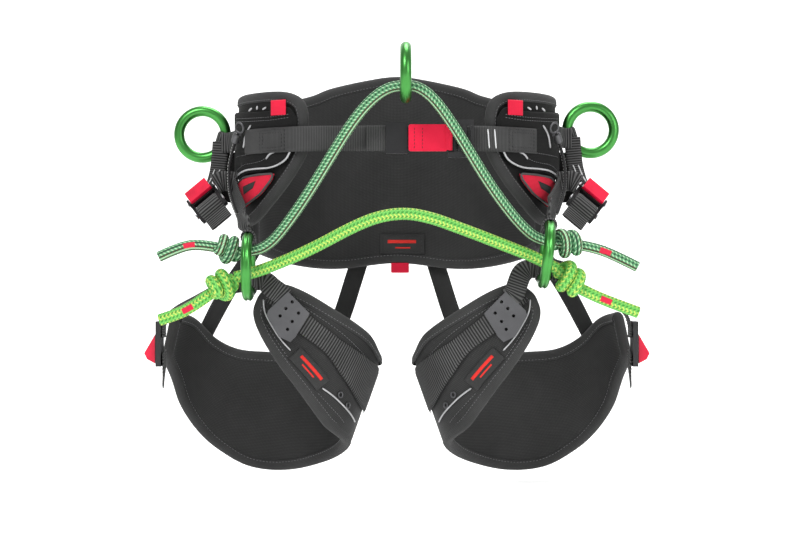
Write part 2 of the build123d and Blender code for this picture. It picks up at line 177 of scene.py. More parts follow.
def ribbed(name, groove, rib):
    """Webbing: the mesh carries the ribs, and its 'rib' attribute says how high each point stands; the
    grooves get painted shade, a darker colour than the ribs.
    """
    material, tree, shader = new_material(name, {"Roughness": 0.7, "Specular IOR Level": 0.25,
                                                 "Sheen Weight": 0.03})
    height = node(tree, "ShaderNodeAttribute", attribute_name="rib").outputs["Fac"]
    coords = node(tree, "ShaderNodeTexCoord").outputs
    # painted shade: the colour runs from the dark groove value up to the lighter rib value with the rib
    # height
    colour = ramp(tree, height, [(0.25, grey(groove)), (0.85, grey(rib))])
    clouded(tree, shader, colour, noise(tree, 30.0, 4.0, coords["Object"]), 0.8, 1.15)
    bump(tree, shader, [(noise(tree, 1100.0, 3.0, coords["Object"]), 0.4, 0.0002)])
    return material


def braided(name):
    """Rope sheath: the mesh carries the braid, and its point colours give each strand's colour with painted
    shade in the gaps of the braid.
    """
    material, tree, shader = new_material(name, {"Roughness": 0.6, "Specular IOR Level": 0.3})
    colour = node(tree, "ShaderNodeVertexColor", layer_name="yarn_and_shade").outputs["Color"]
    fibre = noise(tree, 1500.0, 3.0, node(tree, "ShaderNodeTexCoord").outputs["Object"])
    clouded(tree, shader, colour, fibre, 0.78, 1.15)
    bump(tree, shader, [(fibre, 0.3, 0.0002)])
    return material


def metal(name, colour, roughness, coat=0.0, metallic=1.0):
    """Anodised or coated metal with fine grain and a slightly uneven tone."""
    material, tree, shader = new_material(name, {"Metallic": metallic, "Coat Weight": coat,
                                                 "Coat Roughness": 0.12})
    coords = node(tree, "ShaderNodeTexCoord").outputs
    fine = noise(tree, 1400.0, 3.0, coords["Object"])
    shaded(tree, shader, colour, noise(tree, 35.0, 4.0, coords["Object"]), 0.85, 1.12)
    limits = {"Value": fine, "To Min": roughness * 0.85, "To Max": roughness * 1.2}
    rough = node(tree, "ShaderNodeMapRange", limits).outputs["Result"]
    tree.links.new(rough, shader.inputs["Roughness"])
    bump(tree, shader, [(fine, 0.08, 0.0001)])
    return material


def moulded(name, colour, roughness=0.38):
    """Moulded plastic with a fine leathery grain."""
    material, tree, shader = new_material(name, {"Roughness": roughness, "Specular IOR Level": 0.35})
    coords = node(tree, "ShaderNodeTexCoord").outputs["Object"]
    grain = node(tree, "ShaderNodeTexVoronoi", {"Scale": 900.0, "Vector": coords}).outputs["Distance"]
    shaded(tree, shader, colour, noise(tree, 60.0, 4.0, coords), 0.8, 1.15)
    bump(tree, shader, [(grain, 0.12, 0.0002)])
    return material


MATERIALS = {
    "pad": woven("pad_cloth", 0.004, 0.011, 0.0011, sheen=0.04, roughness=0.8),
    "inside": woven("inner_cloth", 0.020, 0.042, 0.0016, sheen=0.05, roughness=0.7),
    "binding": woven("binding_tape", 0.030, 0.054, 0.0008, sheen=0.06),
    "panel": woven("panel_cloth", 0.004, 0.012, 0.0013, sheen=0.03),
    "red": woven("red_cloth", 0.55, 0.80, 0.0012, sheen=0.05, tint=(1.0, 0.02, 0.07)),
    "deep_red": woven("deep_red_cloth", 0.50, 0.80, 0.0012, sheen=0.05, tint=(1.0, 0.025, 0.07)),
    "label": woven("label_cloth", 0.03, 0.045, 0.0007, sheen=0.04),
    "mark": woven("label_embroidery", 0.6, 0.85, 0.0006, sheen=0.02, tint=(1.0, 0.05, 0.04)),
    "elastic": woven("elastic_tape", 0.022, 0.036, 0.0010, sheen=0.04),
    "webbing": ribbed("dark_webbing", 0.008, 0.075),
    "strap": ribbed("front_strap_webbing", 0.020, 0.055),
    "piping": moulded("pale_piping", (0.40, 0.40, 0.41), 0.5),
    "dark_piping": moulded("dark_piping", (0.055, 0.052, 0.053), 0.55),
    "thread": moulded("grey_thread", (0.13, 0.13, 0.135), 0.6),
    "dark_thread": moulded("dark_thread", (0.012, 0.012, 0.013), 0.6),
    "reflective": moulded("reflective_yarn", (0.60, 0.60, 0.61), 0.45),
    "rope": braided("rope_sheath"),
    "anodised": metal("green_anodised", (0.060, 0.27, 0.055), 0.34, coat=0.15),
    "coated": metal("black_coated_steel", (0.016, 0.016, 0.017), 0.36, metallic=0.3, coat=0.12),
    "grey_metal": metal("grey_coated_metal", (0.10, 0.10, 0.105), 0.40, metallic=0.8),
    "bright_metal": metal("bright_rivet", (0.55, 0.55, 0.57), 0.28),
    "black_plastic": moulded("black_plastic", (0.010, 0.010, 0.011)),
    "red_plastic": moulded("red_plastic", (0.62, 0.008, 0.04), 0.3),
}


# ---------- mesh helpers ----------

def finish_piece(name, verts, faces, material, body, slot, replaces=(), uvs=None, points=None):
    """A mesh object on a body; uvs and points are per-vertex values."""
    mesh = bpy.data.meshes.new(name)
    mesh.from_pydata([tuple(v) for v in verts], [], faces)
    whole = bmesh.new()
    whole.from_mesh(mesh)
    bmesh.ops.recalc_face_normals(whole, faces=whole.faces)
    whole.to_mesh(mesh)
    whole.free()
    mesh.update()
    if uvs:
        layer = mesh.uv_layers.new(name="UVMap")
        for loop in mesh.loops:
            layer.data[loop.index].uv = uvs[loop.vertex_index]
    for key, values in (points or {}).items():
        if isinstance(values[0], (tuple, list)):
            layer = mesh.color_attributes.new(key, "FLOAT_COLOR", "POINT")
            layer.data.foreach_set("color", [c for value in values for c in (*value, 1.0)])
        else:
            layer = mesh.attributes.new(key, "FLOAT", "POINT")
            layer.data.foreach_set("value", values)
    mesh.shade_smooth()
    mesh.materials.append(MATERIALS[material])
    made = bpy.data.objects.new(name, mesh)
    bpy.context.scene.collection.objects.link(made)
    if body:
        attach(made, body)
    if replaces:
        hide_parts(*replaces)
    return made


def catmull(points, steps):
    """A smooth line through points, steps samples to each stretch."""
    points = [Vector(p) for p in points]
    ends = [points[0] * 2 - points[1]] + points + [points[-1] * 2 - points[-2]]
    line = []
    for a, b, c, d in zip(ends, ends[1:], ends[2:], ends[3:]):
        for k in range(steps):
            t = k / steps
            line.append(0.5 * (2 * b + (c - a) * t + (2 * a - 5 * b + 4 * c - d) * t ** 2
                               + (3 * b - a - 3 * c + d) * t ** 3))
    return line + [points[-1]]


def length_of(line):
    return sum((b - a).length for a, b in zip(line, line[1:]))


def evenly(points, step=None, count=None, closed=False):
    """Points at even distances along a polyline."""
    points = [Vector(p) for p in points]
    if closed:
        points.append(points[0].copy())
    lengths = [(b - a).length for a, b in zip(points, points[1:])]
    total = sum(lengths)
    count = count or max(2, round(total / step) + (0 if closed else 1))
    spans = count if closed else count - 1
    made, i, gone = [], 0, 0.0
    for k in range(count):
        want = total * k / spans
        while i < len(lengths) - 1 and gone + lengths[i] < want:
            gone += lengths[i]
            i += 1
        share = (want - gone) / lengths[i] if lengths[i] else 0.0
        made.append(points[i].lerp(points[i + 1], min(1.0, share)))
    return made


def frames(points, closed=False):
    """(tangent, normal, binormal) at each point, carried along without twisting."""
    tangents = []
    for i in range(len(points)):
        a = points[i - 1] if i or closed else points[0]
        b = points[(i + 1) % len(points)] if i + 1 < len(points) or closed else points[-1]
        tangents.append((b - a).normalized())
    normal = tangents[0].orthogonal()
    made = []
    for tangent in tangents:
        normal = (normal - tangent * normal.dot(tangent)).normalized()
        made.append((tangent, normal, tangent.cross(normal)))
    return made


def grid_faces(rows, columns, closed_rows=False, closed_columns=False, offset=0):
    faces = []
    for i in range(rows if closed_rows else rows - 1):
        for j in range(columns if closed_columns else columns - 1):
            a, b = offset + i * columns + j, offset + i * columns + (j + 1) % columns
            c = offset + (i + 1) % rows * columns + (j + 1) % columns
            d = offset + (i + 1) % rows * columns + j
            faces.append((a, b, c, d))
    return faces


def tube(points, radius, around=8, closed=False):
    """Verts and faces of a round tube; an open one has narrowed, closed ends."""
    verts, rows = [], len(points)
    for i, (point, (_, normal, side)) in enumerate(zip(points, frames(points, closed))):
        r = radius * (0.55 if not closed and i in (0, rows - 1) else 1)
        verts += [point + (normal * cos(tau * k / around) + side * sin(tau * k / around)) * r
                  for k in range(around)]
    faces = grid_faces(rows, around, closed, True)
    if not closed:
        faces += [tuple(range(around))[::-1], tuple((rows - 1) * around + k for k in range(around))]
    return verts, faces


def join(parts):
    """Several (verts, faces) as one."""
    verts, faces = [], []
    for some, these in parts:
        faces += [tuple(len(verts) + k for k in face) for face in these]
        verts += some
    return verts, faces


# ---------- surfaces that the soft parts lie on ----------

def belt_at(layer):
    """Place on a belt layer: angle from the front, height and distance outwards."""
    half_x, half_y = BELT[layer]

    def place(angle, z, out=0.0):
        normal = Vector((sin(angle) / half_x, -cos(angle) / half_y, 0)).normalized()
        return Vector((half_x * sin(angle), -half_y * cos(angle), z)) + normal * out
    return place


def belt_angle(layer, x, rear=False):
    angle = asin(max(-1.0, min(1.0, x / BELT[layer][0])))
    return pi - angle if rear else angle


def leg_at(side):
    """Place on a leg loop: angle from its front towards the outside, height and distance outwards."""
    def place(angle, z, out=0.0):
        rise = z - LEG_Z
        half_x = LEG_HALF_X + LEG_HALF_X_SLOPE * rise
        normal = Vector((sin(angle) / half_x, -cos(angle) / LEG_HALF_Y, 0)).normalized()
        point = Vector((LEG_X + LEG_X_SLOPE * rise + half_x * sin(angle), LEG_Y - LEG_HALF_Y * cos(angle),
                        z))
        point += normal * out
        return Vector((side * point.x, point.y, point.z))
    return place


def leg_angle(x, z, rear=False):
    rise = z - LEG_Z
    across = (x - LEG_X - LEG_X_SLOPE * rise) / (LEG_HALF_X + LEG_HALF_X_SLOPE * rise)
    angle = asin(max(-1.0, min(1.0, across)))
    return -pi - angle if rear else angle


def ladder(place, top, bottom, rows, columns, outer, inner, round_over, ribs=None):
    """A layer between two edges given as (angle, z): front and back grids, joined all round.

    Returns verts, faces, uvs, each vertex's rib height and distance from the layer's edge, and the outline
    as points on the outer and on the inner face."""
    edges = [evenly(catmull([(a, z, 0) for a, z in edge], 10), count=rows) for edge in (top, bottom)]
    middle = [place((a.x + b.x) / 2, (a.y + b.y) / 2) for a, b in zip(*edges)]
    lengths = [0.0]
    for a, b in zip(middle, middle[1:]):
        lengths.append(lengths[-1] + (b - a).length)
    verts, flat, uvs, heights, to_edges = [], [], [], [], []
    for out, sign in ((outer, 1), (inner, -1)):
        for i, (start, stop) in enumerate(zip(*edges)):
            across = (place(start.x, start.y) - place(stop.x, stop.y)).length
            for j in range(columns):
                share = j / (columns - 1)
                spot = start.lerp(stop, share)
                to_edge = min(share * across, (1 - share) * across, lengths[i], lengths[-1] - lengths[i])
                lift = rib = 0.0
                if to_edge < round_over:
                    bend = sqrt(max(0.0, 1 - (1 - to_edge / round_over) ** 2))
                    lift = (bend - 1) * (outer - inner) / 2
                if ribs:
                    pitch, depth = ribs
                    rib = 0.5 + 0.5 * cos(tau * lengths[i] / pitch)
                    lift += depth * (rib - 1)
                verts.append(place(spot.x, spot.y, out + sign * lift))
                flat.append(place(spot.x, spot.y, out))
                uvs.append((lengths[i], share * across))
                heights.append(rib)
                to_edges.append(to_edge)
    total, last = rows * columns, (rows - 1) * columns
    faces = [face[::-1] for face in grid_faces(rows, columns)] + grid_faces(rows, columns, offset=total)
    rim = list(range(columns)) + [i * columns + columns - 1 for i in range(1, rows)]
    rim += [last + j for j in range(columns - 2, -1, -1)] + [i * columns for i in range(rows - 2, 0, -1)]
    faces += [(rim[k - 1], rim[k], rim[k] + total, rim[k - 1] + total) for k in range(len(rim))]
    return verts, faces, uvs, heights, to_edges, ([flat[k] for k in rim], [flat[k + total] for k in rim])


def layer(name, built, material, body, slot, replaces):
    """A ladder as a finished piece."""
    verts, faces, uvs = built[:3]
    return finish_piece(name, verts, faces, material, body, slot, replaces, uvs)


CLOTH = {"quality": 4, "mass": 0.3, "tension_stiffness": 12, "compression_stiffness": 8, "shear_stiffness": 6,
         "bending_stiffness": 1.5, "use_pressure": True, "uniform_pressure_force": 4.0,
         "vertex_group_mass": "held"}
CLOTH_STEPS = 20
HELD_EDGE = 0.012                         # the cloth is held less and less over this width


def cloth_pad(made, to_edges, cap):
    """Swells a pad by cloth simulation; its edge is held, and no point moves further than cap."""
    before = [v.co.copy() for v in made.data.vertices]
    held = made.vertex_groups.new(name="held")
    for i, to_edge in enumerate(to_edges):
        held.add([i], max(0.0, 1.0 - to_edge / HELD_EDGE), "REPLACE")
    cloth = made.modifiers.new("cloth", "CLOTH")
    for key, value in CLOTH.items():
        setattr(cloth.settings, key, value)
    cloth.settings.effector_weights.gravity = 0.0
    cloth.collision_settings.use_collision = False
    for step in range(1, CLOTH_STEPS + 1):
        bpy.context.scene.frame_set(step)
    evaluated = made.evaluated_get(bpy.context.evaluated_depsgraph_get())
    after = [v.co.copy() for v in evaluated.data.vertices]
    made.modifiers.remove(cloth)
    made.vertex_groups.remove(held)
    bpy.context.scene.frame_set(1)
    for vertex, old, new in zip(made.data.vertices, before, after):
        move = new - old
        vertex.co = old + move * min(1.0, cap / move.length if move.length > 1e-9 else 1.0)
    made.data.update()


def padded(name, built, material, body, cap, tape, thick, width):
    """A pad swollen from a ladder, with tape over its edge."""
    made = layer(f"{name}_cloth", built, material, body, "padding", [name])
    cloth_pad(made, built[4], cap)
    subdivide(made)
    binding(tape, built[5], built[0], thick, width, body)


def subdivide(made):
    modifier = made.modifiers.new("smooth", "SUBSURF")
    modifier.levels = modifier.render_levels = 1


def rim_frame(rims, spacing=0.003):
    """An even line round a pad's edge, with the direction across its thickness and the one into the pad."""
    middle = [(a + b) / 2 for a, b in zip(*rims)]
    across = [(a - b).normalized() for a, b in zip(*rims)]
    count = max(24, round(length_of(middle) / spacing))
    line = smooth_closed(evenly(middle, count=count, closed=True), 2)
    made = []
    for i, point in enumerate(line):
        tangent = (line[(i + 1) % count] - line[i - 1]).normalized()
        near = min(range(len(middle)), key=lambda k: (middle[k] - point).length_squared)
        normal = (across[near] - tangent * across[near].dot(tangent)).normalized()
        made.append((point, normal, normal.cross(tangent)))
    return made


def binding(name, rims, verts, thick, width, body):
    """Tape folded over a pad's edge, with a row of stitches on each face."""
    line = rim_frame(rims)
    votes = 0
    for point, _, inward in line[::7]:
        gaps = [min((v - point - inward * sign * 0.006).length_squared for v in verts) for sign in (1, -1)]
        votes += 1 if gaps[0] < gaps[1] else -1
    if votes < 0:
        line = [(point, normal, -inward) for point, normal, inward in line]
    half = thick / 2
    profile = [(width, half - 0.0004), (width, half + 0.0009), (width * 0.5, half + 0.0012),
               (0.001, half + 0.0010), (-0.0016, half * 0.7), (-0.0023, 0.0), (-0.0016, -half * 0.7),
               (0.001, -half - 0.0010), (width * 0.5, -half - 0.0012), (width, -half - 0.0009),
               (width, -half + 0.0004)]
    tape, uvs, gone = [], [], 0.0
    for i, (point, normal, inward) in enumerate(line):
        gone += (point - line[i - 1][0]).length if i else 0.0
        tape += [point + inward * m + normal * n for m, n in profile]
        uvs += [(gone, k * 0.002) for k in range(len(profile))]
    faces = grid_faces(len(line), len(profile), closed_rows=True)
    made = finish_piece(name, tape, faces, "binding", body, "webbing", uvs=uvs)
    subdivide(made)
    rows = []
    for sign in (1, -1):
        seam = [point + inward * width * 0.78 + normal * sign * (half + 0.0011)
                for point, normal, inward in line]
        rows.append(stitch_row(seam + [seam[0]]))
    finish_piece(f"{name}_stitching", *join(rows), "thread", body, "webbing")


def smooth_closed(points, rounds):
    for _ in range(rounds):
        points = [(points[i - 1] + points[i] * 2 + points[(i + 1) % len(points)]) / 4
                  for i in range(len(points))]
    return points


THREAD_STEP = 0.0007


def stitch_row(line, pitch=5, length=3, radius=0.00028):
    """Short thread stitches along a line, their pitch and length counted in thread steps."""
    fine = evenly(line, step=THREAD_STEP)
    return join([tube(fine[start:start + length + 1], radius, 5)
                 for start in range(0, len(fine) - length, pitch)])


def surface_line(place, points, out):
    """A smooth line of (angle, z) points laid on a surface."""
    return [place(p.x, p.y, out) for p in catmull([(a, z, 0) for a, z in points], 10)]


def stitching(name, place, seams, out, body):
    rows = [stitch_row(evenly(surface_line(place, seam, out), step=0.001)) for seam in seams]
    finish_piece(name, *join(rows), "thread", body, "webbing")


def piping(name, place, lines, out, radius, body):
    tubes = [tube(evenly(surface_line(place, line, out), step=0.0012), radius) for line in lines]
    finish_piece(name, *join(tubes), "piping", body, "webbing")


# ---------- webbing ----------

def strap_mesh(stations, width, thick, pitch=0.0026, depth=0.00035, step=0.00045, columns=9):
    """Flat webbing through (point, direction across) stations, with its cross ribs."""
    points = catmull([p for p, _ in stations], 12)
    acrosses = catmull([a for _, a in stations], 12)
    fine = evenly(points, step=step)
    lengths = [0.0]
    for a, b in zip(points, points[1:]):
        lengths.append(lengths[-1] + (b - a).length)
    verts, uvs, heights = [], [], []
    total, k = lengths[-1], 0
    for i, point in enumerate(fine):
        gone = total * i / (len(fine) - 1)
        while k < len(lengths) - 2 and lengths[k + 1] < gone:
            k += 1
        share = (gone - lengths[k]) / max(1e-9, lengths[k + 1] - lengths[k])
        across = acrosses[k].lerp(acrosses[k + 1], min(1, max(0, share)))
        tangent = (fine[min(i + 1, len(fine) - 1)] - fine[max(i - 1, 0)]).normalized()
        across = (across - tangent * across.dot(tangent)).normalized()
        normal = tangent.cross(across)
        rib = 0.5 + 0.5 * cos(tau * gone / pitch)
        for sign in (1, -1):
            for j in range(columns):
                place = (j / (columns - 1) - 0.5) * sign
                edge = 1 - abs(place) * 2
                lift = (thick / 2 - depth * (1 - rib)) * (1 if edge > 0.001 else 0.35)
                verts.append(point + across * place * width + normal * sign * lift)
                uvs.append((gone, place * width))
                heights.append(rib)
    around = 2 * columns
    faces = grid_faces(len(fine), around, closed_columns=True)
    faces += [tuple(range(around))[::-1], tuple((len(fine) - 1) * around + j for j in range(around))]
    return verts, faces, uvs, heights


def woven_piece(name, parts, body, replaces, material="webbing", slot="webbing"):
    """Stretches of webbing as one piece; each is its verts, faces, uvs and rib heights."""
    verts, faces, uvs, heights = [], [], [], []
    for some, these, uv, rib in parts:
        faces += [tuple(len(verts) + k for k in face) for face in these]
        verts, uvs, heights = verts + some, uvs + uv, heights + rib
    return finish_piece(name, verts, faces, material, body, slot, replaces, uvs, {"rib": heights})


def webbing(name, runs, width, thick, body, replaces=(), material="webbing", slot="webbing", **ribs):
    parts = [strap_mesh(run, width, thick, **ribs) for run in runs]
    return woven_piece(name, parts, body, replaces, material, slot)


def sided(stations, side):
    """Stations of the right-hand side, in millimetres, put on a side in metres."""
    return [(Vector((side * p[0], p[1], p[2])) * MM, Vector((side * a[0], a[1], a[2]))) for p, a in stations]


# ---------- camera, light and floor ----------

def camera():
    made = bpy.data.cameras.new("camera")
    made.lens, made.sensor_width = 90.0, 36.0
    holder = bpy.data.objects.new("camera", made)
    holder.location = (0.003, -2.0, -0.0965)
    holder.rotation_euler = (radians(90), 0, 0)
    bpy.context.scene.collection.objects.link(holder)
    bpy.context.scene.camera = holder


def light(name, place, size, energy):
    made = bpy.data.lights.new(name, "AREA")
    made.shape, made.size, made.energy = "DISK", size, energy
    holder = bpy.data.objects.new(name, made)
    holder.location = place
    holder.rotation_euler = (Vector((0, 0, -0.08)) - Vector(place)).to_track_quat("-Z", "Y").to_euler()
    bpy.context.scene.collection.objects.link(holder)


def studio():
    world = bpy.data.worlds.new("studio")
    world.use_nodes = True
    sky = world.node_tree.nodes["Background"]
    sky.inputs["Color"].default_value = (1, 1, 1, 1)
    sky.inputs["Strength"].default_value = 0.55
    bpy.context.scene.world = world
    bpy.context.scene.view_settings.view_transform = "Standard"
    light("key", (-0.9, -1.8, 1.5), 0.9, 34)
    light("fill", (1.5, -1.5, 0.5), 1.2, 14)
    light("top", (0.2, 0.4, 1.8), 1.2, 30)
    white = (0.93, 0.93, 0.93, 1)
    material = new_material("pale_floor", {"Base Color": white, "Roughness": 0.9, "Emission Strength": 0.42,
                                           "Emission Color": (1, 1, 1, 1)})[0]
    half, rise, far, radius = 4.0, 4.0, 2.2, 1.2
    low = CAD_BOX[0][2] - 0.012
    profile = [(-half, low), (far - radius, low)]
    for angle in range(5, 91, 5):
        turn = radians(angle)
        profile.append((far - radius + radius * sin(turn), low + radius * (1 - cos(turn))))
    profile += [(far, rise)]
    verts = [(x, y, z) for y, z in profile for x in (-half, half)]
    mesh = bpy.data.meshes.new("floor")
    mesh.from_pydata(verts, [], [(2 * i, 2 * i + 1, 2 * i + 3, 2 * i + 2) for i in range(len(profile) - 1)])
    mesh.shade_smooth()
    mesh.materials.append(material)
    made = bpy.data.objects.new("floor", mesh)
    bpy.context.scene.collection.objects.link(made)


# ---------- ropes and cords ----------

UPPER_SPAN = [(-0.149, -0.111, -0.0825), (-0.135, -0.112, -0.0825), (-0.120, -0.112, -0.076),
              (-0.103, -0.114, -0.056), (-0.082, -0.121, -0.026), (-0.062, -0.130, 0.006),
              (-0.042, -0.140, 0.037), (-0.026, -0.148, 0.056), (-0.009, -0.155, 0.0685),
              (0.008, -0.157, 0.0707), (0.021, -0.1565, 0.069), (0.035, -0.153, 0.058),
              (0.050, -0.148, 0.038), (0.066, -0.141, 0.013), (0.083, -0.132, -0.014),
              (0.101, -0.123, -0.039), (0.119, -0.115, -0.060), (0.134, -0.112, -0.0715),
              (0.1495, -0.111, -0.074)]
LOWER_SPAN = [(-0.153, -0.1125, -0.107), (-0.140, -0.112, -0.1035), (-0.124, -0.113, -0.0985),
              (-0.101, -0.118, -0.0895), (-0.073, -0.126, -0.0765), (-0.044, -0.134, -0.061),
              (-0.018, -0.139, -0.050), (0.008, -0.140, -0.0465), (0.032, -0.139, -0.051),
              (0.057, -0.134, -0.060), (0.084, -0.127, -0.070), (0.110, -0.119, -0.080),
              (0.130, -0.114, -0.0875), (0.152, -0.113, -0.099)]
TAILS = {
    "upper": {LEFT: [(-0.170, -0.110, -0.0785), (-0.188, -0.110, -0.075), (-0.206, -0.111, -0.0785),
                     (-0.225, -0.112, -0.0875)],
              RIGHT: [(0.1705, -0.110, -0.076), (0.187, -0.110, -0.0785), (0.208, -0.111, -0.087),
                      (0.2275, -0.112, -0.097)]},
    "lower": {LEFT: [(-0.176, -0.1155, -0.1225), (-0.189, -0.116, -0.132), (-0.205, -0.116, -0.141),
                     (-0.224, -0.116, -0.147)],
              RIGHT: [(0.172, -0.1155, -0.117), (0.187, -0.116, -0.1245), (0.206, -0.116, -0.132),
                      (0.228, -0.116, -0.140)]}}
HIP_CORD = [(0.153, -0.090, -0.046), (0.156, -0.077, -0.040), (0.1605, -0.062, -0.030),
            (0.164, -0.050, -0.016), (0.1645, -0.044, 0.0), (0.162, -0.0455, 0.012), (0.158, -0.0525, 0.024),
            (0.1545, -0.058, 0.033)]
ROPES = {"upper": (UPPER_SPAN, 0.010), "lower": (LOWER_SPAN, 0.011)}
CORD = 0.0032

DARK_GREEN, MID_GREEN, PALE_GREEN = (0.018, 0.075, 0.032), (0.10, 0.34, 0.15), (0.42, 0.72, 0.42)
LEAF_GREEN, LIME, YELLOW = (0.035, 0.30, 0.035), (0.20, 0.66, 0.12), (0.60, 0.78, 0.14)
BROWN, BLACK, WHITE = (0.09, 0.045, 0.02), (0.014, 0.014, 0.015), (0.62, 0.62, 0.60)
OVERSTITCH = (0.62, 0.01, 0.045)          # the red mark on each tail
MARK_AT, MARK_LENGTH = 0.36, 0.011        # a share of the tail, and metres
ROPE_STEP = 0.00055
# each rope's rows, round its girth, as the colours of their alternate picks
DARK_YARNS = [(PALE_GREEN, PALE_GREEN), (DARK_GREEN, BROWN), (MID_GREEN, PALE_GREEN),
              (DARK_GREEN, DARK_GREEN), (PALE_GREEN, MID_GREEN), (DARK_GREEN, MID_GREEN),
              (MID_GREEN, PALE_GREEN), (DARK_GREEN, BROWN)]
BRIGHT_YARNS = [(LIME, LIME), (LEAF_GREEN, LIME), (YELLOW, LIME), (LEAF_GREEN, YELLOW)]
BLACK_YARNS = [(BLACK, BLACK), (BLACK, WHITE), (BLACK, BLACK), (BLACK, BLACK)]


def centreline(name, route, step):
    """Evenly spaced points read from the route's smooth NURBS line."""
    curve = bpy.data.curves.new(name, "CURVE")
    curve.dimensions = "3D"
    spline = curve.splines.new("NURBS")
    spline.points.add(len(route) - 1)
    for point, place in zip(spline.points, route):
        point.co = (*place, 1)
    spline.order_u = 3
    spline.use_endpoint_u = True
    spline.resolution_u = 24
    holder = bpy.data.objects.new(name, curve)
    mesh = bpy.data.meshes.new_from_object(holder)
    points = [v.co.copy() for v in mesh.vertices]
    bpy.data.objects.remove(holder)
    bpy.data.curves.remove(curve)
    bpy.data.meshes.remove(mesh)
    return evenly(points, step=step)


def sheath(points, diameter, yarns, wales=16, pick=0.0019, across=3, mark=None):
    """A braided sheath along points: slanted picks in rows along the rope, each row in its own thread
    colours, darkened by painted shade in the gaps between picks and between wales.

    mark is (from, to, colour): a stretch whose front rows are overstitched."""
    verts, colours, rows, around = [], [], len(points), wales * across
    relief = diameter * 0.045
    gone = 0.0
    for i, (point, (_, normal, side)) in enumerate(zip(points, frames(points))):
        gone += (point - points[i - 1]).length if i else 0.0
        marked = mark and mark[0] <= gone <= mark[1]
        for k in range(around):
            wale, share = k // across, (k % across + 0.5) / across
            lean = 1 if wale % 2 else -1
            phase = gone / pick + lean * (share - 0.5) * 0.9 + 0.5 * (wale % 2)
            high = sin(pi * (phase % 1))
            radius = diameter / 2 - relief + relief * 1.5 * sin(pi * share) ** 0.6 * (0.3 + 0.7 * high)
            # painted shade: each point's colour is darkened in the gaps between picks and towards the edges
            # of each wale, where shade would fall
            tone = 0.35 + 0.75 * high * (0.6 + 0.4 * sin(pi * share))
            first, second = yarns[wale % len(yarns)]
            colour = first if floor(phase) % 2 else second
            direction = normal * cos(tau * k / around) + side * sin(tau * k / around)
            if marked and direction.y < -0.86:
                # the overstitched rows get a lighter painted shade between their picks
                colour, radius, tone = mark[2], diameter / 2 + relief * 0.3, 0.8 + 0.2 * high
            if i in (0, rows - 1):
                radius *= 0.8
            verts.append(point + direction * radius)
            colours.append(tuple(min(1.0, c * tone) for c in colour))
    faces = grid_faces(rows, around, closed_columns=True)
    faces += [tuple(range(around))[::-1], tuple((rows - 1) * around + k for k in range(around))]
    return verts, faces, colours


def knot_line(start, end, diameter, turns, side):
    """The rope's line through a stopper knot: in at the core, round it, and out at the core."""
    axis = end - start
    length = axis.length
    axis.normalize()
    across = Vector((0, 0, 1)) - axis * axis.z
    across.normalize()
    other = axis.cross(across)
    spread = diameter * 0.94
    points = []
    count = round(turns * 26)
    for k in range(count + 1):
        share = k / count
        angle = side * tau * turns * share + radians(200)
        out = spread * min(1.0, sin(pi * share) * 3.2)
        along = length * 0.5 + (share - 0.5) * turns * diameter * 1.02
        lean = 0.30 * out * cos(angle - radians(90))
        points.append(start + axis * (along + lean) + across * out * cos(angle) + other * out * sin(angle))
    return evenly(catmull(points, 3), step=0.0006)


def ropes():
    for name, (route, diameter) in ROPES.items():
        yarns, slot = (DARK_YARNS, "dark_rope") if name == "upper" else (BRIGHT_YARNS, "bright_rope")
        line = centreline(f"{name}_route", route, ROPE_STEP)
        verts, faces, colours = sheath(line, diameter, yarns)
        span = finish_piece(f"{name}_rope_span", verts, faces, "rope", "root", slot,
                            [f"{name}_bridge_rope"], points={"yarn_and_shade": colours})
        for side, word in SIDES.items():
            tail = centreline(f"{name}_{word}_tail_route", TAILS[name][side], ROPE_STEP)
            start = length_of(tail) * MARK_AT
            verts, faces, colours = sheath(tail, diameter, yarns,
                                           mark=(start, start + MARK_LENGTH, OVERSTITCH))
            finish_piece(f"{word}_{name}_rope_tail", verts, faces, "rope", "root", slot,
                                       points={"yarn_and_shade": colours})
            end, beyond = Vector(route[0] if side == LEFT else route[-1]), Vector(TAILS[name][side][0])
            wraps = knot_line(end, beyond, diameter * 0.97, 2.0, side)
            verts, faces, colours = sheath(wraps, diameter * 0.97, yarns)
            core = [end.lerp(beyond, k / 30) for k in range(31)]
            inner, their, shades = sheath(core, diameter * 0.94, yarns)
            both = join([(verts, faces), (inner, their)])
            finish_piece(f"{word}_{name}_knot_wraps", *both, "rope", "root", slot,
                                       [f"{word}_{name}_knot"], points={"yarn_and_shade": colours + shades})
        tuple(line[0])
        length_of(line)


def hip_cord(side, word):
    route = [(side * x, y, z) for x, y, z in HIP_CORD]
    line = centreline(f"{word}_cord_route", route, 0.0004)
    verts, faces, colours = sheath(line, CORD, BLACK_YARNS, wales=8, pick=0.0016)
    made = finish_piece(f"{word}_cord", verts, faces, "rope", "root", "cord", [f"{word}_accessory_cord"],
                        points={"yarn_and_shade": colours})
    radius, wire, rise = 0.005, 0.0009, 0.0060
    a, b = Vector(route[-2]), Vector(route[-1])
    along = (b - a).normalized()
    across = Vector((side * 0.5, -0.87, 0)).cross(along).normalized()
    eye = [b + along * rise + (along * cos(tau * k / 40) + across * sin(tau * k / 40)) * radius
           for k in range(40)]
    loop = finish_piece(f"{word}_cord_loop", *tube(eye, wire, 10, closed=True), "grey_metal", "root", "cord")
    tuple(line[0])
    length_of(line)


# ---------- rings ----------

def bridge_axis(side):
    return Vector((cos(BRIDGE_LEAN[side]), 0, sin(BRIDGE_LEAN[side])))


